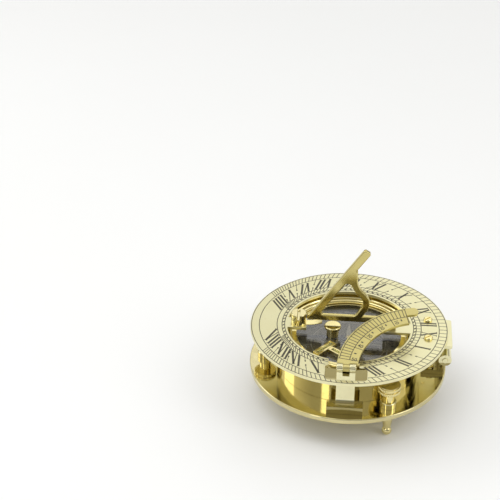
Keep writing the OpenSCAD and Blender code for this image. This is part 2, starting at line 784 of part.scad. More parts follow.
module latitude_bracket() {
    foot_front = -strap_y - bracket_foot_out;
    slot_z = ring_z + fork_slot_up;
    f = bracket_fillet_r;
    color("khaki") placed() difference() {
        union() {
            translate([-bracket_foot_w / 2, foot_front, plate_top])
                cube([bracket_foot_w, bracket_foot_out + strap_t, bracket_foot_h]);
            translate([-strap_w / 2, -strap_y, plate_top]) cube([strap_w, strap_t, arc_z - plate_top]);
            translate([-strap_w / 2, -strap_y - f, plate_top + bracket_foot_h])
                rotate([90, 0, 90]) linear_extrude(strap_w) difference() {
                    square([f + strap_t / 2, f]);
                    translate([0, f]) circle(f);
                }
            translate([-strap_w / 2, arc_y, arc_z]) rotate([0, 90, 0])
                cylinder(r = ear_r, h = strap_w);
        }
        translate([-fork_slot_w / 2, arc_y - ear_r - over, slot_z])
            cube([fork_slot_w, 2 * (ear_r + over), arc_z + ear_r]);
        translate([-strap_w / 2 - over, arc_y, arc_z]) rotate([0, 90, 0])
            cylinder(r = arc_pin_r + fixed_gap, h = strap_w + 2 * over, $fn = 48);
        at_bracket_screws() cylinder(r = sunk_shank_r + fixed_gap, h = plate_t + sunk_grip + over, $fn = 48);
    }
}

module bracket_screws() {
    color("silver") placed() at_bracket_screws() sunk_screw();
}

// Outline of the latitude arc, with the pin at the origin and the arc's length along Y. The round end of the
// finger is a hair slimmer than the finger, so that the two outlines cross and don't only touch.
module latitude_arc_outline() {
    finger_r = arc_out_r - arc_finger_w / 2;
    tip = 180 - arc_finger_end + asin(arc_finger_w / 2 / finger_r);
    difference() {
        translate(arc_centre) {
            band(arc_out_r - arc_w / 2, arc_w, 180, 180 - arc_end);
            band(finger_r, arc_finger_w, 180, tip);
            translate(finger_r * [cos(tip), sin(tip)]) circle(arc_finger_w / 2 - hair, $fn = 48);
        }
        translate([-arc_out_r, arc_root - arc_out_r]) square([2 * arc_out_r, arc_out_r]);
    }
    translate([-tongue_w / 2, 0]) square([tongue_w, arc_root + over]);
}

module latitude_arc() {
    color("palegoldenrod") placed() translate([0, arc_y, arc_z]) rotate([arc_rest, 0, 0]) difference() {
        union() {
            translate([0, 0, -arc_t / 2]) linear_extrude(arc_t, $fn = 180) latitude_arc_outline();
            translate([-tongue_w / 2, 0, 0]) rotate([0, 90, 0]) cylinder(r = arc_eye_r, h = tongue_w);
        }
        translate([-tongue_w / 2 - over, 0, 0]) rotate([0, 90, 0])
            cylinder(r = arc_pin_r + run_gap, h = tongue_w + 2 * over, $fn = 48);
    }
}

module arc_pin() {
    color("silver") placed() translate([-strap_w / 2 - arc_pin_out, arc_y, arc_z]) rotate([0, 90, 0])
        cylinder(r = arc_pin_r, h = strap_w + 2 * arc_pin_out, $fn = 48);
}

// The style: a straight bar with a blunt tip, its upper edge on the line from the foot of the style
module style_outline() {
    r = style_tip_r;
    start = gnomon_pivot_up / sin(style_deg) + 1;
    end = r + (style_top - r + r * cos(style_deg)) / sin(style_deg);
    translate([-style_foot_x, 0]) rotate(style_deg) round_rect([start, -style_w], [end, 0], r);
}

// Fills the sharp corner of the opening between two edges that leave it at the angles a and b, and leaves a
// round one. The circle bites a little into both edges, so that it crosses them instead of only touching them.
module round_corner(corner, a, b, r) {
    bite = 0.05;
    half = (b - a) / 2;
    run = (r - bite) / tan(half);
    to_a = [cos(a), sin(a)];
    to_b = [cos(b), sin(b)];
    inward = [cos(a + half), sin(a + half)];
    difference() {
        polygon([corner - over * inward, corner + run * to_a + over * [to_a.y, -to_a.x], corner + run * to_a,
                 corner + run * to_b, corner + run * to_b + over * [-to_b.y, to_b.x]]);
        translate(corner + (r - bite) / sin(half) * inward) circle(r);
    }
}

// Fills the opening's upper corner between the style and the support, down to its round top
module arch_outline() {
    join = [scroll_x, scroll_up] + scroll_joint * [cos(scroll_turn), sin(scroll_turn)];
    to_scroll = (join - arch_at) / norm(join - arch_at);
    to_style = [-sin(style_deg), cos(style_deg)];
    top_x = join.x - scroll_high_r + scroll_w * 0.3;
    top = [top_x, (top_x + style_foot_x) * style_slope - (style_w - 0.2) / cos(style_deg)];
    difference() {
        polygon([arch_at, arch_at + (arch_r + over) * to_scroll, top, arch_at + (arch_r + over) * to_style]);
        translate(arch_at) circle(arch_r);
    }
}

// The curved support: a straight leg, two bows that turn into each other, and a straight top under the style.
// The straight pieces are a hair slimmer than the bows and reach into them, so that no outlines only touch.
module scroll_outline() {
    bow = [scroll_x, scroll_up];
    slim_w = scroll_w - 2 * hair;
    high = bow + scroll_joint * [cos(scroll_turn), sin(scroll_turn)];
    low_end = leg_deg - 90;
    leg_top = bow + scroll_low_r * [cos(low_end), sin(low_end)];
    leg_l = (leg_top.y - gnomon_pivot_up) / sin(leg_deg);
    style_z = (high.x - scroll_high_r + style_foot_x) * style_slope - style_w / cos(style_deg);
    translate(bow) band(scroll_low_r, scroll_w, scroll_turn, low_end);
    translate(high) band(scroll_high_r, scroll_w, 180 + scroll_turn, 179);
    translate(leg_top) rotate(leg_deg) translate([-leg_l, -slim_w / 2]) square([leg_l + 0.4, slim_w]);
    translate([high.x - scroll_high_r - slim_w / 2, high.y - 0.4])
        square([slim_w, style_z - high.y + 2 * over]);
}

module gnomon_outline() {
    low = gnomon_pivot_up - base_bar_h / 2;
    high = low + base_bar_h;
    c = base_bar_chamfer;
    leg_x = scroll_x + (scroll_low_r - scroll_w / 2) / sin(leg_deg) - (scroll_up - high) / tan(leg_deg);
    polygon([[gnomon_x0, low + c], [gnomon_x0 + c, low], [gnomon_x1 - c, low], [gnomon_x1, low + c],
             [gnomon_x1, high - c], [gnomon_x1 - c, high], [gnomon_x0 + c, high], [gnomon_x0, high - c]]);
    style_outline();
    arch_outline();
    scroll_outline();
    round_corner([high / style_slope - style_foot_x + style_w / sin(style_deg), high], 0, style_deg,
                 web_fillet_r);
    round_corner([leg_x, high], leg_deg, 180, leg_fillet_r);
}

module gnomon() {
    color("gold") placed() difference() {
        translate([0, gnomon_t / 2, ring_top]) rotate([90, 0, 0])
            linear_extrude(gnomon_t, $fn = 96) gnomon_outline();
        for (x = [gnomon_x0 - over, gnomon_x1 - pivot_pin_in])
            translate([x, 0, gnomon_z]) rotate([0, 90, 0])
                cylinder(r = pivot_pin_r + run_gap, h = pivot_pin_in + over, $fn = 48);
    }
}

module gnomon_post() {
    color("gold") placed() translate([-post_x, 0, 0]) difference() {
        union() {
            translate([0, 0, post_seat])
                cylinder(r = post_r, h = ring_top + post_top - 0.4 - post_seat);
            translate([0, 0, ring_top + post_top - 0.4]) cylinder(r1 = post_r, r2 = post_r - 0.4, h = 0.4);
            translate([0, 0, ring_z]) cylinder(r = rivet_r, h = ring_t + 2 * spring_t, $fn = 48);
        }
        translate([-post_slot_w / 2, -post_r - over, ring_top + post_top - post_slot_d])
            cube([post_slot_w, 2 * (post_r + over), post_slot_d + over]);
        translate([post_r - pivot_pin_out, 0, gnomon_z]) rotate([0, 90, 0])
            cylinder(r = pivot_pin_r + fixed_gap, h = pivot_pin_out + over, $fn = 48);
    }
}

module gnomon_lug() {
    top = gnomon_pivot_up + base_bar_h / 2;
    color("gold") placed() translate([lug_x, 0, ring_top]) difference() {
        union() {
            translate([0, -lug_w / 2, 0]) cube([lug_l, lug_w, top - lug_w / 2]);
            translate([0, 0, top - lug_w / 2]) rotate([0, 90, 0]) cylinder(r = lug_w / 2, h = lug_l);
            translate([lug_l / 2, 0, -ring_t]) cylinder(r = rivet_r, h = ring_t + over, $fn = 48);
        }
        translate([-over, 0, gnomon_pivot_up]) rotate([0, 90, 0])
            cylinder(r = pivot_pin_r + fixed_gap, h = pivot_pin_out + over, $fn = 48);
    }
}

module gnomon_pivots() {
    l = pivot_pin_in + pivot_pin_out + side_gap - 2 * fixed_gap;
    for (x = [gnomon_x0 - side_gap - pivot_pin_out + fixed_gap, gnomon_x1 - pivot_pin_in + fixed_gap])
        color("silver") placed() translate([x, 0, gnomon_z]) rotate([0, 90, 0])
            cylinder(r = pivot_pin_r, h = l, $fn = 48);
}

// A leaf spring, held under the round post, that bows up under the gnomon
module gnomon_spring() {
    start_x = -post_x + post_r;
    sweep = asin(spring_l / spring_bow_r);
    color("darkkhaki") placed() difference() {
        union() {
            translate([-post_x, 0, ring_top]) cylinder(r = post_r - 0.3, h = spring_t);
            translate([-post_x, -spring_w / 2, ring_top]) cube([post_r, spring_w, spring_t]);
            translate([start_x, spring_w / 2, ring_top]) rotate([90, 0, 0]) linear_extrude(spring_w)
                translate([0, spring_bow_r + spring_t / 2])
                    band(spring_bow_r, spring_t, -90, -90 + sweep);
        }
        translate([-post_x, 0, ring_top - over])
            cylinder(r = rivet_r + fixed_gap, h = spring_t + 2 * over, $fn = 48);
    }
}

base_plate();
foot_bosses();
levelling_screw_1();
levelling_screw_2();
levelling_screw_3();
compass_box();
compass_box_screws();
compass_card();
needle_pivot();
compass_needle();
needle_cap();
compass_glass();
bezel();
level_long();
level_short();
level_vials();
round_level();
hour_ring();
hinge_dial_leaf();
hinge_base_leaf();
hinge_pin();
dial_screws();
hinge_base_screws();
latitude_bracket();
bracket_screws();
latitude_arc();
arc_pin();
gnomon();
gnomon_post();
gnomon_lug();
gnomon_pivots();
gnomon_spring();
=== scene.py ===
"""Portable sundial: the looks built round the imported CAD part, in the row frame and in metres."""

import json
import math

import bmesh
import bpy
from bpy.props import FloatProperty, FloatVectorProperty, PointerProperty
from mathutils import Matrix, Vector

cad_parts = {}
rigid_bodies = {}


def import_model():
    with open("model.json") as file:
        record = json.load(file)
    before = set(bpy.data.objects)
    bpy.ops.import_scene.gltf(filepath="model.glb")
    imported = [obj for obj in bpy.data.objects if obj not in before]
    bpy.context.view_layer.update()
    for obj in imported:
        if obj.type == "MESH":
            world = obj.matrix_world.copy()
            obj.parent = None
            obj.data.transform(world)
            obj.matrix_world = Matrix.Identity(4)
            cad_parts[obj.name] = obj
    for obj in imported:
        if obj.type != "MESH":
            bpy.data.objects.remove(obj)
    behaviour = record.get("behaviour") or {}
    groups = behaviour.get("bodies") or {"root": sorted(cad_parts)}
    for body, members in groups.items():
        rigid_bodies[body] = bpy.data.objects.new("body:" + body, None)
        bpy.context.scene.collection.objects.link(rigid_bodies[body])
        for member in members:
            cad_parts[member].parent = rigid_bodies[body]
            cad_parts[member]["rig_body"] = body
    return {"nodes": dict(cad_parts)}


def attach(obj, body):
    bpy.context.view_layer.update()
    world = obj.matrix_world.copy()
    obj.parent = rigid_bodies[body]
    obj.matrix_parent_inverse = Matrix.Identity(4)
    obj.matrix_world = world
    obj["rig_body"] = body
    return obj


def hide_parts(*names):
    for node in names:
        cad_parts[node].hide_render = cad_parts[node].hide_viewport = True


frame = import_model()

bl_info = {
    "name": "Portable Sundial",
    "version": (1, 0, 0),
    "blender": (4, 5, 0),
    "location": "View3D > Sidebar > Sundial",
    "description": "Softens the packed sundial, engraves it, finishes it and sets its stage",
    "category": "Object",
}

MM = 0.001
# The frame's origin lies this far from the middle of the dial, towards noon. Places below are in
# millimetres from the middle of the dial, with noon along X, and heights are above the feet.
MIDDLE_X = 1.05
RING_TOP = 48.9
CARD_TOP = 33.5
HINGE_X, HINGE_Z = 61.5, 37.6
# All hour lines start here, south of the middle of the dial, and are this many degrees apart.
HOUR_FOOT = Vector((-31.0, 0.0))
LINE_STEP = 2.5
LAST_LINE = 49
LAST_HOUR = 48
# The divisions in the hour ring's two bands, from their inner to their outer end.
DIVISION_BANDS = ((57.6, 62.3), (43.05, 45.9))
# A half-hour mark's two dashes: the inner end, the outer end and where the dot lies.
HALF_HOUR_DASHES = ((46.2, 49.0, 49.0), (52.4, 57.3, 52.4))
# The chain between the two inner circles: its dashes' inner and outer ends, half turn and width.
CHAIN_INNER, CHAIN_OUTER, CHAIN_LEAN, CHAIN_WIDTH = 41.55, 42.55, 1.0, 0.85
CHAIN_STEP = 5
# The window at the latitude bracket, and the throat behind it that lets the arc pass.
WINDOW = (-13.0, 13.0)
WINDOW_NEAR, WINDOW_FAR = -59.5, -44.0
THROAT = (-11.2, 7.9)
THROAT_FAR = -22.0
# The engraved circles, each with the gap that the window or the throat leaves in it.
CIRCLES = [(41.2, THROAT), (42.9, THROAT), (46.05, WINDOW), (57.45, WINDOW), (62.45, None)]
CIRCLE_DEPTH, CIRCLE_WIDTH = 0.145, 0.5
DOT_RADIUS = 0.5
# The folded arc: its pin, its tilt above the dial, its centre in its own plane, counted from the
# pin, and the angle at which its broad part ends.
ARC_PIN = Vector((0.0, -52.0, 52.6))
ARC_TILT = 13.0
ARC_CENTRE = Vector((47.6, -0.5))
ARC_END = 75.6
# The latitude that the level dial is set for, and the highest one that is engraved.
LEVEL_LATITUDE, LAST_LATITUDE = 59.0, 50
# The arc's scale: the circles beside the divisions, the ends of a decade's line, where the digits
# and the dots between them lie, and how far both stand beyond their line, in degrees.
SCALE_OUTER, SCALE_INNER = 52.6, 46.3
DECADE_OUTER, DECADE_INNER = 53.5, 40.9
DIGITS_AT, DOTS_AT = 43.6, 44.2
DIGITS_BEYOND, DOTS_BEYOND = 3.1, 0.8


class SundialSizes(bpy.types.PropertyGroup):
    """Sizes of the details that are added to the part."""

    edge_round: FloatProperty(
        name="Edge rounding", description="Rounding on the edges of turned and milled brass",
        default=0.22 * MM, min=0.05 * MM, max=0.5 * MM, unit="LENGTH", subtype="DISTANCE")
    ring_round: FloatProperty(
        name="Ring edge rounding", description="Rounding on the edges of the hour ring and the arc",
        default=0.2 * MM, min=0.05 * MM, max=0.4 * MM, unit="LENGTH", subtype="DISTANCE")
    cast_round: FloatProperty(
        name="Casting rounding", description="Rounding on the edges of the cast gnomon",
        default=0.7 * MM, min=0.2 * MM, max=1.2 * MM, unit="LENGTH", subtype="DISTANCE")
    line_width: FloatProperty(
        name="Line width", description="Width of the engraved division lines",
        default=0.46 * MM, min=0.15 * MM, max=0.6 * MM, unit="LENGTH", subtype="DISTANCE")
    thick_stroke: FloatProperty(
        name="Thick stroke", description="Width of the thick strokes of the hour numerals",
        default=1.35 * MM, min=0.6 * MM, max=1.8 * MM, unit="LENGTH", subtype="DISTANCE")
    thin_stroke: FloatProperty(
        name="Thin stroke", description="Width of the thin strokes of the hour numerals",
        default=0.6 * MM, min=0.2 * MM, max=0.9 * MM, unit="LENGTH", subtype="DISTANCE")
    numeral_inner: FloatProperty(
        name="Numeral inner radius", description="Radius at which the tops of the hour numerals lie",
        default=46.6 * MM, unit="LENGTH", subtype="DISTANCE")
    numeral_outer: FloatProperty(
        name="Numeral outer radius", description="Radius at which the feet of the hour numerals lie",
        default=56.0 * MM, unit="LENGTH", subtype="DISTANCE")
    digit_height: FloatProperty(
        name="Digit height", description="Height of the digits on the latitude arc",
        default=2.6 * MM, unit="LENGTH", subtype="DISTANCE")


class SundialColours(bpy.types.PropertyGroup):
    """Colours of the finishes."""

    polished: FloatVectorProperty(
        name="Polished brass", description="Colour of the mirror polished brass", subtype="COLOR",
        size=3, min=0, max=1, default=(0.69, 0.615, 0.335))
    # Besides the needle cap, this darker brass is painted shade: on the top of the compass box under the hour
    # ring, and on the lower parts of the bracket and of the hinge leaf.
    dark: FloatVectorProperty(
        name="Dark brass", description="Colour of the darker, older polished brass", subtype="COLOR",
        size=3, min=0, max=1, default=(0.38, 0.325, 0.145))
    golden: FloatVectorProperty(
        name="Golden brass", description="Colour of the screws and of the springs", subtype="COLOR",
        size=3, min=0, max=1, default=(0.84, 0.735, 0.36))
    satin: FloatVectorProperty(
        name="Satin brass", description="Colour of the pale satin brass", subtype="COLOR",
        size=3, min=0, max=1, default=(0.83, 0.785, 0.49))
    arc: FloatVectorProperty(
        name="Arc brass", description="Colour of the latitude arc's satin brass", subtype="COLOR",
        size=3, min=0, max=1, default=(0.66, 0.575, 0.235))
    cast: FloatVectorProperty(
        name="Cast brass", description="Colour of the gnomon's brass", subtype="COLOR",
        size=3, min=0, max=1, default=(0.64, 0.55, 0.22))
    fill: FloatVectorProperty(
        name="Engraving fill", description="Colour of the dark fill in the engraving", subtype="COLOR",
        size=3, min=0, max=1, default=(0.040, 0.034, 0.018))
    steel: FloatVectorProperty(
        name="Steel", description="Colour of the steel screws and pins", subtype="COLOR",
        size=3, min=0, max=1, default=(0.56, 0.55, 0.52))
    blued: FloatVectorProperty(
        name="Blued steel", description="Colour of the compass needle", subtype="COLOR",
        size=3, min=0, max=1, default=(0.03, 0.035, 0.055))
    card: FloatVectorProperty(
        name="Compass card", description="Colour of the compass card", subtype="COLOR",
        size=3, min=0, max=1, default=(0.095, 0.088, 0.070))
    rose: FloatVectorProperty(
        name="Card print", description="Colour of the rose on the compass card", subtype="COLOR",
        size=3, min=0, max=1, default=(0.36, 0.34, 0.27))
    spirit: FloatVectorProperty(
        name="Spirit", description="Colour of the spirit in the levels", subtype="COLOR",
        size=3, min=0, max=1, default=(0.86, 0.90, 0.66))
    floor: FloatVectorProperty(
        name="Floor", description="Colour of the plain floor", subtype="COLOR",
        size=3, min=0, max=1, default=(0.94, 0.94, 0.935))


# Shader node groups and materials


def new_group(name, inputs, outputs):
    """A shader node group with its sockets, given as (name, kind, default) and (name, kind)."""
    tree = bpy.data.node_groups.new(name, "ShaderNodeTree")
    for label, kind, default in inputs:
        socket = tree.interface.new_socket(name=label, in_out="INPUT", socket_type=kind)
        socket.default_value = default
    for label, kind in outputs:
        tree.interface.new_socket(name=label, in_out="OUTPUT", socket_type=kind)
    return tree, tree.nodes.new("NodeGroupInput"), tree.nodes.new("NodeGroupOutput")


def noise(tree, vector, scale, detail=4.0, roughness=0.55):
    node = tree.nodes.new("ShaderNodeTexNoise")
    node.inputs["Detail"].default_value = detail
    node.inputs["Roughness"].default_value = roughness
    if isinstance(scale, bpy.types.NodeSocket):
        tree.links.new(scale, node.inputs["Scale"])
    else:
        node.inputs["Scale"].default_value = scale
    tree.links.new(vector, node.inputs["Vector"])
    return node.outputs["Fac"]


def remap(tree, value, low, high, to_low=0.0, to_high=1.0):
    node = tree.nodes.new("ShaderNodeMapRange")
    for name, given in (("From Min", low), ("From Max", high), ("To Min", to_low), ("To Max", to_high)):
        if isinstance(given, bpy.types.NodeSocket):
            tree.links.new(given, node.inputs[name])
        else:
            node.inputs[name].default_value = given
    tree.links.new(value, node.inputs["Value"])
    return node.outputs["Result"]


def maths(tree, operation, a, b):
    node = tree.nodes.new("ShaderNodeMath")
    node.operation = operation
    for index, given in enumerate((a, b)):
        if isinstance(given, bpy.types.NodeSocket):
            tree.links.new(given, node.inputs[index])
        else:
            node.inputs[index].default_value = given
    return node.outputs[0]


def mixed(tree, factor, a, b):
    node = tree.nodes.new("ShaderNodeMix")
    node.data_type = "RGBA"
    for socket, given in ((node.inputs[0], factor), (node.inputs[6], a), (node.inputs[7], b)):
        if isinstance(given, bpy.types.NodeSocket):
            tree.links.new(given, socket)
        else:
            socket.default_value = given
    return node.outputs[2]


def object_point(tree):
    return tree.nodes.new("ShaderNodeTexCoord").outputs["Object"]


def tarnish_group():
    """Warm and cool patches on handled brass: a colour, and a mask of where it is dull."""
    tree, given, out = new_group(
        "Sundial Tarnish",
        [("Clean", "NodeSocketColor", (0.8, 0.6, 0.2, 1)), ("Aged", "NodeSocketColor", (0.5, 0.35, 0.1, 1)),
         ("Amount", "NodeSocketFloat", 0.3)],
        [("Color", "NodeSocketColor"), ("Mask", "NodeSocketFloat")])
    point = object_point(tree)
    broad = remap(tree, noise(tree, point, 42.0, 5.0, 0.6), 0.42, 0.72)
    fine = remap(tree, noise(tree, point, 520.0, 3.0, 0.5), 0.56, 0.74)
    mask = maths(tree, "MULTIPLY", maths(tree, "MAXIMUM", broad, fine), given.outputs["Amount"])
    tree.links.new(mixed(tree, mask, given.outputs["Clean"], given.outputs["Aged"]), out.inputs["Color"])
    tree.links.new(mask, out.inputs["Mask"])
    return tree


def polish_group():
    """Wipe marks and fine scratches: a roughness and a bump height."""
    tree, given, out = new_group(
        "Sundial Polish",
        [("Low", "NodeSocketFloat", 0.08), ("High", "NodeSocketFloat", 0.25),
         ("Mask", "NodeSocketFloat", 0.0)],
        [("Roughness", "NodeSocketFloat"), ("Height", "NodeSocketFloat")])
    point = object_point(tree)
    wipes = remap(tree, noise(tree, point, 85.0, 6.0, 0.65), 0.45, 0.8)
    wave = tree.nodes.new("ShaderNodeTexWave")
    wave.inputs["Scale"].default_value = 700.0
    wave.inputs["Distortion"].default_value = 9.0
    wave.inputs["Detail"].default_value = 3.0
    tree.links.new(point, wave.inputs["Vector"])
    worn = maths(tree, "MAXIMUM", wipes, given.outputs["Mask"])
    roughness = remap(tree, worn, 0.0, 1.0, given.outputs["Low"], given.outputs["High"])
    tree.links.new(roughness, out.inputs["Roughness"])
    scratches = maths(tree, "MULTIPLY", wave.outputs["Fac"], 0.25)
    height = maths(tree, "ADD", scratches, noise(tree, point, 900.0, 4.0))
    tree.links.new(height, out.inputs["Height"])
    return tree


def grain_group():
    """The fine grain of a satin face: circles round the middle of the dial, and a speckle."""
    tree, given, out = new_group(
        "Sundial Grain",
        [("Speckle", "NodeSocketFloat", 0.3)],
        [("Value", "NodeSocketFloat"), ("Height", "NodeSocketFloat")])
    point = object_point(tree)
    split = tree.nodes.new("ShaderNodeSeparateXYZ")
    tree.links.new(point, split.inputs[0])
    x = maths(tree, "ADD", split.outputs["X"], MIDDLE_X * MM)
    y = split.outputs["Y"]
    squares = maths(tree, "ADD", maths(tree, "MULTIPLY", x, x), maths(tree, "MULTIPLY", y, y))
    radius = maths(tree, "SQRT", squares, 0.0)
    rings = tree.nodes.new("ShaderNodeTexNoise")
    rings.noise_dimensions = "1D"
    rings.inputs["Scale"].default_value = 5200.0
    rings.inputs["Detail"].default_value = 2.0
    tree.links.new(radius, rings.inputs["W"])
    speckle = noise(tree, point, 1500.0, 3.0, 0.6)
    circles = maths(tree, "MULTIPLY", rings.outputs["Fac"], 0.5)
    value = maths(tree, "ADD", circles, maths(tree, "MULTIPLY", speckle, given.outputs["Speckle"]))
    tree.links.new(value, out.inputs["Value"])
    tree.links.new(value, out.inputs["Height"])
    return tree


def use_group(tree, group, **values):
    node = tree.nodes.new("ShaderNodeGroup")
    node.node_tree = group
    for name, value in values.items():
        if isinstance(value, bpy.types.NodeSocket):
            tree.links.new(value, node.inputs[name])
        else:
            node.inputs[name].default_value = value
    return node


def rgba(colour, share=1.0):
    return (colour[0] * share, colour[1] * share, colour[2] * share, 1.0)


def blank_material(name):
    material = bpy.data.materials.new(name)
    material.use_nodes = True
    return material, material.node_tree, material.node_tree.nodes["Principled BSDF"]


def bump(tree, shader, height, distance, strength=1.0):
    node = tree.nodes.new("ShaderNodeBump")
    node.inputs["Strength"].default_value = strength
    node.inputs["Distance"].default_value = distance
    tree.links.new(height, node.inputs["Height"])
    tree.links.new(node.outputs["Normal"], shader.inputs["Normal"])


def brass(name, groups, colour, low, high, tarnish, depth, aged=(0.62, 0.58, 0.5)):
    material, tree, shader = blank_material(name)
    dull = (colour[0] * aged[0], colour[1] * aged[1], colour[2] * aged[2], 1.0)
    patches = use_group(tree, groups["tarnish"], Clean=rgba(colour), Aged=dull, Amount=tarnish)
    finish = use_group(tree, groups["polish"], Low=low, High=high, Mask=patches.outputs["Mask"])
    shader.inputs["Metallic"].default_value = 1.0
    tree.links.new(patches.outputs["Color"], shader.inputs["Base Color"])
    tree.links.new(finish.outputs["Roughness"], shader.inputs["Roughness"])
    bump(tree, shader, finish.outputs["Height"], depth)
    return material


def layered_brass(name, groups, lower, upper, height, blend, low, high, depth):
    """Polished brass of one colour below a height and of another above it. This is painted shade: one of the
    two is a darker brass that stands in for shade or a dark reflection.
    """
    material, tree, shader = blank_material(name)
    split = tree.nodes.new("ShaderNodeSeparateXYZ")
    tree.links.new(object_point(tree), split.inputs[0])
    waver = maths(tree, "MULTIPLY", noise(tree, object_point(tree), 60.0), blend)
    edge = maths(tree, "ADD", split.outputs["Z"], waver)
    share = remap(tree, edge, height + blend * 0.3, height + blend * 0.7)
    colour = mixed(tree, share, rgba(lower), rgba(upper))
    aged = mixed(tree, 0.5, colour, rgba((lower[0] * 0.5, lower[1] * 0.45, lower[2] * 0.4)))
    patches = use_group(tree, groups["tarnish"], Clean=colour, Aged=aged, Amount=0.35)
    finish = use_group(tree, groups["polish"], Low=low, High=high, Mask=patches.outputs["Mask"])
    shader.inputs["Metallic"].default_value = 1.0
    tree.links.new(patches.outputs["Color"], shader.inputs["Base Color"])
    tree.links.new(finish.outputs["Roughness"], shader.inputs["Roughness"])
    bump(tree, shader, finish.outputs["Height"], depth)
    return material


def satin_brass(name, groups, colour, tarnish):
    material, tree, shader = blank_material(name)
    grain = use_group(tree, groups["grain"], Speckle=0.5)
    aged = rgba((colour[0] * 0.9, colour[1] * 0.87, colour[2] * 0.76))
    patches = use_group(tree, groups["tarnish"], Clean=rgba(colour), Aged=aged, Amount=tarnish)
    shader.inputs["Metallic"].default_value = 1.0
    tree.links.new(patches.outputs["Color"], shader.inputs["Base Color"])
    tree.links.new(remap(tree, grain.outputs["Value"], 0.2, 0.8, 0.24, 0.40), shader.inputs["Roughness"])
    bump(tree, shader, grain.outputs["Height"], 0.004 * MM)
    return material


def plain_material(name, colour, second, roughness, metallic=0.0, scale=300.0):
    material, tree, shader = blank_material(name)
    point = object_point(tree)
    grain = remap(tree, noise(tree, point, scale, 4.0), 0.35, 0.7)
    tree.links.new(mixed(tree, grain, rgba(colour), rgba(second)), shader.inputs["Base Color"])
    tree.links.new(remap(tree, grain, 0.0, 1.0, roughness, roughness + 0.12), shader.inputs["Roughness"])
    shader.inputs["Metallic"].default_value = metallic
    return material


def glass_material(name, colour, low, high):
    material, tree, shader = blank_material(name)
    point = object_point(tree)
    smears = remap(tree, noise(tree, point, 60.0, 6.0, 0.7), 0.5, 0.85, low, high)
    shader.inputs["Base Color"].default_value = rgba(colour)
    shader.inputs["Metallic"].default_value = 0.0
    shader.inputs["Transmission Weight"].default_value = 1.0
    shader.inputs["IOR"].default_value = 1.5
    tree.links.new(smears, shader.inputs["Roughness"])
    return material


def paint_materials(colours):
    groups = {"tarnish": tarnish_group(), "polish": polish_group(), "grain": grain_group()}
    c = colours
    return {
        "polished_brass": brass("Polished Brass", groups, c.polished, 0.05, 0.16, 0.30, 0.002 * MM),
        "dark_brass": brass("Dark Polished Brass", groups, c.dark, 0.07, 0.20, 0.35, 0.002 * MM),
        # Painted shade: the compass box turns to the darker brass above 38 mm, under the hour ring. The
        # bracket below 29 mm and the hinge leaf below 36 mm take the darker brass as a painted dark
        # reflection at their feet.
        "drum_shaded_brass": layered_brass(
            "Compass Box Shaded Brass", groups, c.polished, c.dark, 38.0 * MM, 5.0 * MM, 0.05, 0.16, 0.002 * MM),
        "strap_shaded_brass": layered_brass(
            "Bracket Shaded Brass", groups, c.dark, c.satin, 29.0 * MM, 0.4 * MM, 0.10, 0.22, 0.002 * MM),
        "hinge_shaded_brass": layered_brass(
            "Hinge Shaded Brass", groups, c.dark, c.satin, 36.0 * MM, 1.0 * MM, 0.14, 0.26, 0.002 * MM),
        "satin_brass": satin_brass("Satin Brass", groups, c.satin, 0.30),
        "arc_brass": satin_brass("Arc Brass", groups, c.arc, 0.30),
        "screw_brass": brass("Screw Brass", groups, c.golden, 0.09, 0.24, 0.35, 0.003 * MM),
        "gnomon_brass": brass("Gnomon Brass", groups, c.cast, 0.11, 0.25, 0.35, 0.008 * MM),
        "steel": plain_material("Turned Steel", c.steel, (0.36, 0.35, 0.33), 0.22, 1.0),
        "blued_steel": plain_material("Blued Steel", c.blued, (0.02, 0.022, 0.035), 0.2, 1.0),
        "card_enamel": plain_material("Compass Card", c.card, (0.066, 0.060, 0.047), 0.5, 0.0, 420.0),
        "card_print": plain_material("Compass Card Print", c.rose, (0.26, 0.25, 0.20), 0.5, 0.0, 900.0),
        "window_glass": glass_material("Window Glass", (0.95, 0.93, 0.86), 0.0, 0.06),
        "vial_glass": glass_material("Vial Glass", c.spirit, 0.02, 0.05),
        "engraving_fill": plain_material("Engraving Fill", c.fill, (0.085, 0.074, 0.042), 0.42, 0.0, 900.0),
    }


# Shapes


def add_piece(bm, name, body, slot, materials):
    """Makes an object from the mesh, gives it its finish and lets it ride on its body."""
    bmesh.ops.recalc_face_normals(bm, faces=bm.faces[:])
    mesh = bpy.data.meshes.new(name)
    bm.to_mesh(mesh)
    bm.free()
    obj = bpy.data.objects.new(name, mesh)
    bpy.context.scene.collection.objects.link(obj)
    mesh.materials.append(materials[slot])
    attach(obj, body)
    return obj


def smooth(obj, degrees=32.0):
    """Shades an object smooth between its sharp edges."""
    obj.data.shade_smooth()
    obj.data.set_sharp_from_angle(angle=math.radians(degrees))
    even = obj.modifiers.new("Even Normals", "WEIGHTED_NORMAL")
    even.keep_sharp = True
    even.weight = 50


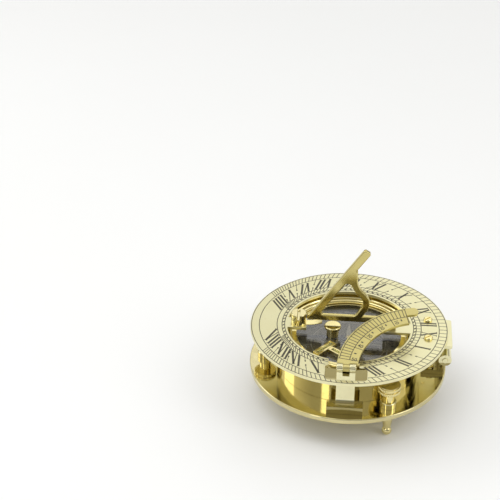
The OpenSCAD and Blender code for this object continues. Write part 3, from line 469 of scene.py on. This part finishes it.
def soften(node, width, slot, materials, segments=3, degrees=38.0, keep=None, finish=None):
    """A copy of a CAD node with its sharp edges rounded, shown in its place. Its finish may differ."""
    source = frame["nodes"][node]
    bm = bmesh.new()
    bm.from_mesh(source.data)
    bmesh.ops.remove_doubles(bm, verts=bm.verts[:], dist=0.002 * MM)
    bmesh.ops.dissolve_degenerate(bm, dist=0.002 * MM, edges=bm.edges[:])
    bmesh.ops.dissolve_limit(bm, angle_limit=math.radians(0.7), verts=bm.verts[:], edges=bm.edges[:])
    limit = math.radians(degrees)
    sharp = [e for e in bm.edges if len(e.link_faces) == 2 and e.calc_face_angle(0.0) > limit]
    if keep:
        sharp = [e for e in sharp if keep(e)]
    bmesh.ops.bevel(
        bm, geom=sharp, offset=width, offset_type="OFFSET", segments=segments, profile=0.5,
        affect="EDGES", clamp_overlap=False, material=-1, loop_slide=True)
    bmesh.ops.remove_doubles(bm, verts=bm.verts[:], dist=0.001 * MM)
    obj = add_piece(bm, node + "_finished", source["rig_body"], slot, materials)
    if finish:
        obj.data.materials[0] = materials[finish]
    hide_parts(node)
    smooth(obj)
    return obj


def bar(bm, start, end, width, low, high):
    """A straight bar between two flat points, from one height to another, all in metres."""
    start, end = Vector(start), Vector(end)
    along = end - start
    size = Matrix.Diagonal((along.length, width, high - low, 1.0))
    turn = Matrix.Rotation(math.atan2(along.y, along.x), 4, "Z")
    middle = (start + end) / 2
    place = Matrix.Translation((middle.x, middle.y, (low + high) / 2))
    bmesh.ops.create_cube(bm, size=1.0, matrix=place @ turn @ size)


def curved_bar(bm, radius, width, low, high, start, sweep, steps, centre=(0.0, 0.0)):
    """A bar that runs round a circle, from an angle and through a sweep, in degrees."""
    turn = Matrix.Rotation(math.radians(start), 4, "Z")
    inner, outer = radius - width / 2, radius + width / 2
    whole = abs(sweep) > 359.9
    middle = Vector((centre[0], centre[1], 0))
    corners = ((inner, low), (outer, low), (outer, high), (inner, high))
    face = bm.faces.new([bm.verts.new(middle + turn @ Vector((r, 0, z))) for r, z in corners])
    bmesh.ops.spin(
        bm, geom=[face], cent=middle, axis=(0, 0, 1), angle=math.radians(sweep), steps=steps,
        use_merge=whole, use_duplicate=False)
    inside = [f for f in bm.faces if all(len(e.link_faces) > 2 for e in f.edges)]
    if inside:
        bmesh.ops.delete(bm, geom=inside, context="FACES_ONLY")


def flat_place(point, degrees, low, high):
    """Where a flat shape goes between two heights, turned in its plane. Metres and degrees."""
    turn = Matrix.Rotation(math.radians(degrees), 4, "Z")
    return Matrix.Translation((point.x, point.y, (low + high) / 2)) @ turn


def dot(bm, point, degrees, radius, stretch, low, high, segments=12):
    """A flat oval dot, longer along its own direction. Metres and degrees."""
    shape = Matrix.Diagonal((stretch, 1.0, 1.0, 1.0))
    bmesh.ops.create_cone(
        bm, cap_ends=True, segments=segments, radius1=radius, radius2=radius, depth=high - low,
        matrix=flat_place(point, degrees, low, high) @ shape)


def on_circle(direction, side, radius):
    """Where the line beside an hour line meets a circle round the middle of the dial. Millimetres."""
    right = Vector((-direction.y, direction.x))
    start = HOUR_FOOT + right * side
    b = start.dot(direction)
    return start + direction * (-b + math.sqrt(b * b - start.length_squared + radius * radius))


def placed(point):
    """From the middle of the dial in millimetres to the frame in metres."""
    return Vector(((point.x - MIDDLE_X) * MM, point.y * MM))


def unit(degrees):
    return Vector((math.cos(math.radians(degrees)), math.sin(math.radians(degrees))))


# The hour ring's engraving

# Each numeral with the angle of its hour line from noon and its shift to the reader's right.
# The last number is a gap behind the numeral's first letter, where the noon line is left bare.
HOURS = [
    ("XII", 0.0, 0.2, 6.3), ("I", -15.0, 0.0, 0.0), ("II", -30.0, 0.0, 0.0), ("III", -45.0, 0.0, 0.0),
    ("V", -75.0, 0.0, 0.0), ("VI", -90.0, -0.4, 0.0), ("VII", -105.0, 0.5, 0.0), ("VIII", -120.0, -3.5, 0.0),
    ("XI", 15.0, 0.0, 0.0), ("X", 30.0, 0.0, 0.0), ("IX", 45.0, 0.0, 0.0), ("VIII", 60.0, 0.0, 0.0),
    ("VII", 75.0, 0.2, 0.0), ("VI", 90.0, -0.4, 0.0), ("V", 105.0, 0.0, 0.0), ("IIII", 120.0, 1.4, 0.0),
]
LETTER_WIDTH = {"I": 2.35, "V": 3.9, "X": 4.3}
# A V that stands alone is wider. Strokes start this far inside a letter's width.
LONE_V_WIDTH = 4.8
STROKE_INSET = 0.55
SERIF_REACH, SERIF_WIDTH = 0.5, 0.32


def over_window(point, margin=0.0):
    """Whether a point of the dial lies over the window or over the throat behind it."""
    x, y = point.x, point.y
    window = abs(x) < WINDOW[1] + margin and WINDOW_NEAR - margin < y < WINDOW_FAR + margin
    throat = THROAT[0] - margin < x < THROAT[1] + margin and WINDOW_FAR - 1.0 < y < THROAT_FAR
    return window or throat


def clear_line(bm, direction, inner, outer, width, low, high):
    """A division line, shortened where it would reach over the window."""
    while inner < outer - 0.8:
        a, b = on_circle(direction, 0.0, inner), on_circle(direction, 0.0, outer)
        if over_window(b, margin=0.25):
            return
        if not over_window(a, margin=0.25):
            bar(bm, placed(a), placed(b), width, low, high)
            return
        inner += 0.2


def half_hour_mark(bm, degrees, width, low, high):
    """Two dashes, each with a dot at the end towards the other."""
    direction = unit(degrees)
    for inner, outer, tip in HALF_HOUR_DASHES:
        a, b = on_circle(direction, 0.0, inner), on_circle(direction, 0.0, outer)
        if over_window(a, margin=0.2) or over_window(b, margin=0.2):
            continue
        bar(bm, placed(a), placed(b), width, low, high)
        dot(bm, placed(on_circle(direction, 0.0, tip)), degrees, DOT_RADIUS * MM, 1.6, low, high)


def stroke(bm, direction, top_side, foot_side, width, sizes, low, high):
    """One stroke of a numeral, along its hour line or slanting to it, with a serif at both ends."""
    top = on_circle(direction, top_side, sizes.numeral_inner / MM)
    foot = on_circle(direction, foot_side, sizes.numeral_outer / MM)
    bar(bm, placed(top), placed(foot), width, low, high)
    right = Vector((-direction.y, direction.x))
    reach = width / MM / 2 + SERIF_REACH
    for point in (top, foot):
        ends = placed(point - right * reach), placed(point + right * reach)
        bar(bm, *ends, SERIF_WIDTH * MM, low, high + 0.002 * MM)


def numeral(bm, text, degrees, shift, gap, sizes, low, high):
    """A numeral of thick and thin strokes, centred on its hour line apart from its shift."""
    direction = unit(degrees)
    widths = [LETTER_WIDTH[letter] for letter in text]
    if text == "V":
        widths = [LONE_V_WIDTH]
    across = shift - (sum(widths) + gap) / 2
    for letter, w in zip(text, widths):
        middle, half = across + w / 2, w / 2 - STROKE_INSET
        if letter == "I":
            stroke(bm, direction, middle, middle, sizes.thick_stroke, sizes, low, high)
        elif letter == "V":
            stroke(bm, direction, middle - half, middle, sizes.thick_stroke, sizes, low, high)
            stroke(bm, direction, middle + half, middle, sizes.thin_stroke, sizes, low, high)
        else:
            stroke(bm, direction, middle - half, middle + half, sizes.thick_stroke, sizes, low, high)
            stroke(bm, direction, middle + half, middle - half, sizes.thin_stroke, sizes, low, high)
        across += w + gap
        gap = 0.0


class SUNDIAL_OT_engrave_ring(bpy.types.Operator):
    """Fills the engraved circles, divisions and hour numerals of the hour ring"""

    bl_idname = "sundial.engrave_ring"
    bl_label = "Engrave Hour Ring"

    def execute(self, context):
        sizes = context.scene.sundial_sizes
        low, high = (RING_TOP - 0.05) * MM, (RING_TOP + 0.012) * MM
        shift = (-MIDDLE_X * MM, 0.0)

        bm = bmesh.new()
        floor, top = (RING_TOP - CIRCLE_DEPTH) * MM, (RING_TOP + 0.01) * MM
        for radius, gap in CIRCLES:
            start, sweep = 0.0, 360.0
            if gap:
                west, east = (math.degrees(math.asin(abs(side) / radius)) + 0.3 for side in gap)
                start, sweep = -90.0 + east, 360.0 - east - west
            curved_bar(bm, radius * MM, CIRCLE_WIDTH * MM, floor, top, start, sweep, 180, shift)
        add_piece(bm, "hour_ring_circles", "dial", "engraving_fill", MATERIALS)

        bm = bmesh.new()
        for index in range(-LAST_LINE, LAST_LINE + 1):
            direction = unit(index * LINE_STEP)
            for inner, outer in DIVISION_BANDS:
                clear_line(bm, direction, inner, outer, sizes.line_width, low, high)
            if index % 6 == 3 and abs(index) < LAST_HOUR:
                half_hour_mark(bm, index * LINE_STEP, sizes.line_width * 0.8, low, high)
        add_piece(bm, "hour_ring_divisions", "dial", "engraving_fill", MATERIALS)

        bm = bmesh.new()
        for angle in range(0, 360, CHAIN_STEP):
            ends = [unit(angle - CHAIN_LEAN) * CHAIN_INNER, unit(angle + CHAIN_LEAN) * CHAIN_OUTER]
            if not any(over_window(p, margin=0.4) for p in ends):
                bar(bm, placed(ends[0]), placed(ends[1]), CHAIN_WIDTH * MM, low, high)
        add_piece(bm, "hour_ring_chain", "dial", "engraving_fill", MATERIALS)

        bm = bmesh.new()
        for text, degrees, right, gap in HOURS:
            numeral(bm, text, degrees, right, gap, sizes, low, high)
        add_piece(bm, "hour_ring_numerals", "dial", "engraving_fill", MATERIALS)
        return {"FINISHED"}


# The latitude arc's scale


def arc_matrix():
    pin = Vector(((ARC_PIN.x - MIDDLE_X) * MM, ARC_PIN.y * MM, ARC_PIN.z * MM))
    return Matrix.Translation(pin) @ Matrix.Rotation(math.radians(ARC_TILT), 4, "X")


def arc_point(radius, degrees):
    """A point of the arc's own plane, in metres, at an angle above its centre line."""
    a = math.radians(degrees)
    return Vector(((ARC_CENTRE.x - radius * math.cos(a)) * MM, (ARC_CENTRE.y + radius * math.sin(a)) * MM))


def latitude_angle(value):
    """Where a latitude's line lies on the arc: there it meets the dial when that is tilted for it."""
    tilt = LEVEL_LATITUDE - value
    lean = math.radians(tilt)
    behind = HINGE_X - ARC_CENTRE.x
    above = ARC_PIN.z + ARC_CENTRE.y - HINGE_Z
    reach = RING_TOP - HINGE_Z + behind * math.sin(lean) - above * math.cos(lean)
    return tilt + math.degrees(math.asin(reach / SCALE_OUTER))


def text_mesh(text, size, depth):
    """A mesh of a short text, lying flat with its middle at the origin."""
    curve = bpy.data.curves.new("digits", "FONT")
    curve.body = text
    curve.size = size
    curve.align_x, curve.align_y = "CENTER", "CENTER"
    curve.extrude = depth
    curve.offset = size * 0.018
    curve.resolution_u = 6
    holder = bpy.data.objects.new("digits", curve)
    bpy.context.scene.collection.objects.link(holder)
    bpy.context.view_layer.update()
    mesh = bpy.data.meshes.new_from_object(holder.evaluated_get(bpy.context.evaluated_depsgraph_get()))
    bpy.data.objects.remove(holder)
    bpy.data.curves.remove(curve)
    return mesh


class SUNDIAL_OT_engrave_arc(bpy.types.Operator):
    """Engraves the scale of latitudes on the arc"""

    bl_idname = "sundial.engrave_arc"
    bl_label = "Engrave Latitude Arc"

    def execute(self, context):
        sizes = context.scene.sundial_sizes
        low, high = 0.95 * MM, 1.012 * MM
        bm = bmesh.new()
        centre = (ARC_CENTRE.x * MM, ARC_CENTRE.y * MM)
        start = latitude_angle(LAST_LATITUDE)
        for radius in (SCALE_OUTER, SCALE_INNER):
            curved_bar(
                bm, radius * MM, sizes.line_width, low, high, 180.0 - start, start - ARC_END, 60, centre)
        for value in range(0, LAST_LATITUDE + 1, 2):
            angle = min(latitude_angle(value), ARC_END)
            outer, inner = SCALE_OUTER, SCALE_INNER
            if value % 10 == 0:
                outer, inner = DECADE_OUTER, DECADE_INNER
            bar(bm, arc_point(outer, angle), arc_point(inner, angle), sizes.line_width, low, high)
        for value in (50, 40, 30, 20, 10):
            beyond = DOTS_BEYOND if value == LAST_LATITUDE else DIGITS_BEYOND
            angle = latitude_angle(value) + beyond
            mesh = text_mesh(str(value), sizes.digit_height * 1.35, 0.03 * MM)
            mesh.transform(flat_place(arc_point(DIGITS_AT, angle), -angle, low, high))
            bm.from_mesh(mesh)
            bpy.data.meshes.remove(mesh)
        for value in (45, 35, 25, 15, 5):
            angle = latitude_angle(value) + DOTS_BEYOND
            dot(bm, arc_point(DOTS_AT, angle), -angle, DOT_RADIUS * MM, 1.8, low, high, 16)
        bmesh.ops.transform(bm, matrix=arc_matrix(), verts=bm.verts[:])
        add_piece(bm, "latitude_scale", "arc", "engraving_fill", MATERIALS)
        return {"FINISHED"}


# Metal pieces


def near_outline(edge):
    """Whether an edge of the hour ring belongs to its outline and not to an engraved circle."""
    for vert in edge.verts:
        flat = math.hypot(vert.co.x / MM + MIDDLE_X, vert.co.y / MM)
        near_top = vert.co.z > (RING_TOP - 0.5) * MM
        if near_top and any(abs(flat - radius) < 0.4 for radius, _ in CIRCLES):
            return False
    return True


class SUNDIAL_OT_finish_base(bpy.types.Operator):
    """Softens and finishes the plate, the levelling screws, the compass box and the bracket"""

    bl_idname = "sundial.finish_base"
    bl_label = "Finish Base"

    def execute(self, context):
        edge = context.scene.sundial_sizes.edge_round
        # The compass box takes a finish with painted shade under the hour ring.
        for node, finish in (("base_plate", None), ("compass_box", "drum_shaded_brass"), ("bezel", "screw_brass")):
            soften(node, edge, "polished_brass", MATERIALS, finish=finish)
        soften("foot_bosses", edge * 0.8, "polished_brass", MATERIALS)
        soften("round_level", edge, "polished_brass", MATERIALS, finish="screw_brass")
        for node in ("level_long", "level_short"):
            soften(node, edge * 0.7, "satin_brass", MATERIALS, finish="screw_brass")
        # The bracket and the base hinge leaf take finishes with painted shade low on their feet.
        soften("latitude_bracket", edge, "satin_brass", MATERIALS, finish="strap_shaded_brass")
        soften("hinge_base_leaf", edge * 0.8, "satin_brass", MATERIALS, finish="hinge_shaded_brass")
        soften("hinge_pin", edge * 0.6, "screw_brass", MATERIALS, finish="satin_brass")
        for node in ("hinge_base_screws", "arc_pin"):
            soften(node, edge * 0.6, "screw_brass", MATERIALS)
        for i in (1, 2, 3):
            soften(f"levelling_screw_{i}", edge * 0.4, "screw_brass", MATERIALS, segments=2, degrees=50.0)
        return {"FINISHED"}


class SUNDIAL_OT_finish_dial(bpy.types.Operator):
    """Softens and finishes the hour ring, the gnomon's posts, the hinge leaf and the latitude arc"""

    bl_idname = "sundial.finish_dial"
    bl_label = "Finish Dial"

    def execute(self, context):
        sizes = context.scene.sundial_sizes
        soften("hour_ring", sizes.ring_round, "satin_brass", MATERIALS, keep=near_outline)
        soften("latitude_arc", sizes.ring_round, "satin_brass", MATERIALS, finish="arc_brass")
        soften("hinge_dial_leaf", sizes.edge_round * 0.8, "satin_brass", MATERIALS)
        soften("dial_screws", sizes.edge_round * 0.6, "screw_brass", MATERIALS)
        for node in ("gnomon_post", "gnomon_lug"):
            soften(node, sizes.edge_round, "polished_brass", MATERIALS)
        soften("gnomon_spring", sizes.edge_round * 0.3, "satin_brass", MATERIALS, finish="screw_brass")
        return {"FINISHED"}


class SUNDIAL_OT_finish_gnomon(bpy.types.Operator):
    """Rounds and finishes the cast gnomon"""

    bl_idname = "sundial.finish_gnomon"
    bl_label = "Finish Gnomon"

    def execute(self, context):
        soften("gnomon", context.scene.sundial_sizes.cast_round, "gnomon_brass", MATERIALS, segments=4)
        return {"FINISHED"}


class SUNDIAL_OT_finish_compass(bpy.types.Operator):
    """Finishes the compass, the glass and the small parts that keep their CAD shape"""

    bl_idname = "sundial.finish_compass"
    bl_label = "Finish Compass"

    def execute(self, context):
        for node, slot in (
                ("compass_card", "card_enamel"), ("needle_pivot", "steel"), ("compass_needle", "blued_steel"),
                ("needle_cap", "screw_brass"), ("compass_glass", "window_glass"),
                ("level_vials", "vial_glass"), ("compass_box_screws", "steel"),
                ("bracket_screws", "steel"), ("gnomon_pivots", "steel")):
            obj = frame["nodes"][node]
            obj.data.materials.clear()
            obj.data.materials.append(MATERIALS[slot])
        frame["nodes"]["needle_cap"].data.materials[0] = MATERIALS["dark_brass"]
        return {"FINISHED"}


class SUNDIAL_OT_compass_rose(bpy.types.Operator):
    """Prints the circles, the divisions and the star on the compass card"""

    bl_idname = "sundial.compass_rose"
    bl_label = "Print Compass Rose"

    def execute(self, context):
        bm = bmesh.new()
        low, high = (CARD_TOP - 0.04) * MM, (CARD_TOP + 0.03) * MM
        shift = (-MIDDLE_X * MM, 0.0)
        star_edge, band_inner, band_outer = 24.0, 33.0, 36.5
        for radius in (star_edge, band_inner, band_outer):
            curved_bar(bm, radius * MM, 0.35 * MM, low, high, 0.0, 360.0, 120, shift)
        for index in range(72):
            inner = band_inner if index % 2 else band_inner + 1.2
            direction = unit(index * 5.0)
            bar(bm, placed(direction * inner), placed(direction * band_outer), 0.3 * MM, low, high)
        for index in range(8):
            middle, reach = (12.0, 11.0) if index % 2 == 0 else (8.5, 7.5)
            angle = index * 45.0
            shape = Matrix.Diagonal((reach, 1.7, 1.0, 1.0))
            bmesh.ops.create_cone(
                bm, cap_ends=True, segments=4, radius1=1.0 * MM, radius2=1.0 * MM, depth=high - low,
                matrix=flat_place(placed(unit(angle) * middle), angle, low, high) @ shape)
        rose = add_piece(bm, "compass_rose", "base", "card_print", MATERIALS)
        return {"FINISHED"}


# Stage


def area_light(name, place, aim, size, watts):
    """A soft white light on the stage, aimed at a point."""
    light = bpy.data.lights.new(name, "AREA")
    light.shape = "RECTANGLE"
    light.size, light.size_y = size
    light.energy = watts
    obj = bpy.data.objects.new(name, light)
    obj.location = place
    obj.rotation_euler = (Vector(aim) - Vector(place)).to_track_quat("-Z", "Y").to_euler()
    bpy.context.scene.collection.objects.link(obj)
    return obj


class SUNDIAL_OT_stage(bpy.types.Operator):
    """Sets the floor, the light, the surroundings and the camera"""

    bl_idname = "sundial.stage"
    bl_label = "Set Stage"

    def execute(self, context):
        scene = context.scene
        bm = bmesh.new()
        bmesh.ops.create_grid(bm, x_segments=1, y_segments=1, size=4.0)
        mesh = bpy.data.meshes.new("floor")
        bm.to_mesh(mesh)
        bm.free()
        floor = bpy.data.objects.new("floor", mesh)
        scene.collection.objects.link(floor)
        paint = scene.sundial_colours.floor
        mesh.materials.append(plain_material("Plain Floor", paint, (0.93, 0.93, 0.922), 0.75, 0.0, 3.0))

        area_light("top_light", (-0.5, -0.1, 1.2), (0, 0, 0.03), (0.7, 0.7), 2.0)
        area_light("side_light", (0.9, -0.35, 0.75), (0, 0, 0.04), (0.4, 0.8), 2.2)
        area_light("left_light", (-1.05, 0.3, 0.75), (0, 0, 0.04), (0.5, 0.7), 1.9)
        area_light("front_light", (-0.6, -0.95, 0.6), (0, 0, 0.04), (0.22, 0.6), 0.9)

        world = bpy.data.worlds.new("Studio")
        scene.world = world
        world.use_nodes = True
        tree = world.node_tree
        tree.nodes.clear()
        out = tree.nodes.new("ShaderNodeOutputWorld")
        point = tree.nodes.new("ShaderNodeTexCoord").outputs["Generated"]
        split = tree.nodes.new("ShaderNodeSeparateXYZ")
        tree.links.new(point, split.inputs[0])
        x, y, z = (split.outputs[name] for name in "XYZ")
        ramp = tree.nodes.new("ShaderNodeValToRGB")
        stops = ramp.color_ramp.elements
        stops[0].position, stops[0].color = 0.0, (0.72, 0.72, 0.71, 1)
        stops[1].position, stops[1].color = 1.0, (1.0, 1.0, 1.0, 1)
        # Pale at the horizon, dark from 10 to 20 degrees above it, and bright from 30 degrees up.
        shades = (
            (0.09, 0.70), (0.18, 0.30), (0.34, 0.32), (0.48, 1.05), (0.68, 1.1), (0.80, 0.72), (0.90, 0.9))
        for position, shade in shades:
            stop = stops.new(position)
            stop.color = (shade, shade, shade * 0.985, 1)
        tree.links.new(z, ramp.inputs[0])
        # A dark panel behind the part on the left for the polished plate, and a darker side by the camera.
        panel = remap(tree, y, 0.1, 0.2)
        for edge in (
                remap(tree, z, 0.585, 0.605), remap(tree, z, 0.70, 0.74, 1.0, 0.0),
                remap(tree, x, -0.07, 0.03, 1.0, 0.0), remap(tree, x, -0.5, -0.4)):
            panel = maths(tree, "MULTIPLY", panel, edge)
        side = remap(tree, z, 0.09, 0.18, 1.0, remap(tree, y, -0.45, 0.1, 0.55, 1.22))
        level = maths(tree, "MULTIPLY", side, remap(tree, panel, 0.0, 1.0, 1.0, 0.12))
        surround = tree.nodes.new("ShaderNodeBackground")
        tree.links.new(level, surround.inputs["Strength"])
        tree.links.new(ramp.outputs[0], surround.inputs["Color"])
        tree.links.new(surround.outputs[0], out.inputs[0])

        camera = bpy.data.cameras.new("camera")
        camera.lens = 98.1
        camera.sensor_width = 36.0
        holder = bpy.data.objects.new("camera", camera)
        holder.location = (5.15 * MM, -726.06 * MM, 540.17 * MM)
        holder.rotation_euler = (math.radians(58.97), 0.0, math.radians(5.5))
        scene.collection.objects.link(holder)
        scene.camera = holder
        scene.view_settings.view_transform = "Standard"
        return {"FINISHED"}


# Panel, registration and the run


class SUNDIAL_PT_panel(bpy.types.Panel):
    """The sundial's steps, sizes and colours"""

    bl_idname = "SUNDIAL_PT_panel"
    bl_label = "Portable Sundial"
    bl_space_type = "VIEW_3D"
    bl_region_type = "UI"
    bl_category = "Sundial"

    def draw(self, context):
        for operator in OPERATORS:
            self.layout.operator(operator.bl_idname)
        for group in (context.scene.sundial_sizes, context.scene.sundial_colours):
            for name in group.bl_rna.properties.keys():
                if name not in ("rna_type", "name"):
                    self.layout.prop(group, name)


OPERATORS = (
    SUNDIAL_OT_finish_base, SUNDIAL_OT_finish_dial, SUNDIAL_OT_finish_gnomon, SUNDIAL_OT_finish_compass,
    SUNDIAL_OT_compass_rose, SUNDIAL_OT_engrave_ring, SUNDIAL_OT_engrave_arc, SUNDIAL_OT_stage)
# The finishes that the record names, and the materials that main paints for them.
MATERIALS = {}


def register():
    for cls in (SundialSizes, SundialColours, *OPERATORS, SUNDIAL_PT_panel):
        bpy.utils.register_class(cls)
    bpy.types.Scene.sundial_sizes = PointerProperty(type=SundialSizes)
    bpy.types.Scene.sundial_colours = PointerProperty(type=SundialColours)


def unregister():
    del bpy.types.Scene.sundial_colours
    del bpy.types.Scene.sundial_sizes
    for cls in reversed((SundialSizes, SundialColours, *OPERATORS, SUNDIAL_PT_panel)):
        bpy.utils.unregister_class(cls)


def main():
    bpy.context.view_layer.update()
    register()
    MATERIALS.update(paint_materials(bpy.context.scene.sundial_colours))
    bpy.ops.sundial.finish_base()
    bpy.ops.sundial.finish_dial()
    bpy.ops.sundial.finish_gnomon()
    bpy.ops.sundial.finish_compass()
    bpy.ops.sundial.compass_rose()
    bpy.ops.sundial.engrave_ring()
    bpy.ops.sundial.engrave_arc()
    bpy.ops.sundial.stage()
    bpy.context.view_layer.update()


if __name__ == "__main__":
    main()
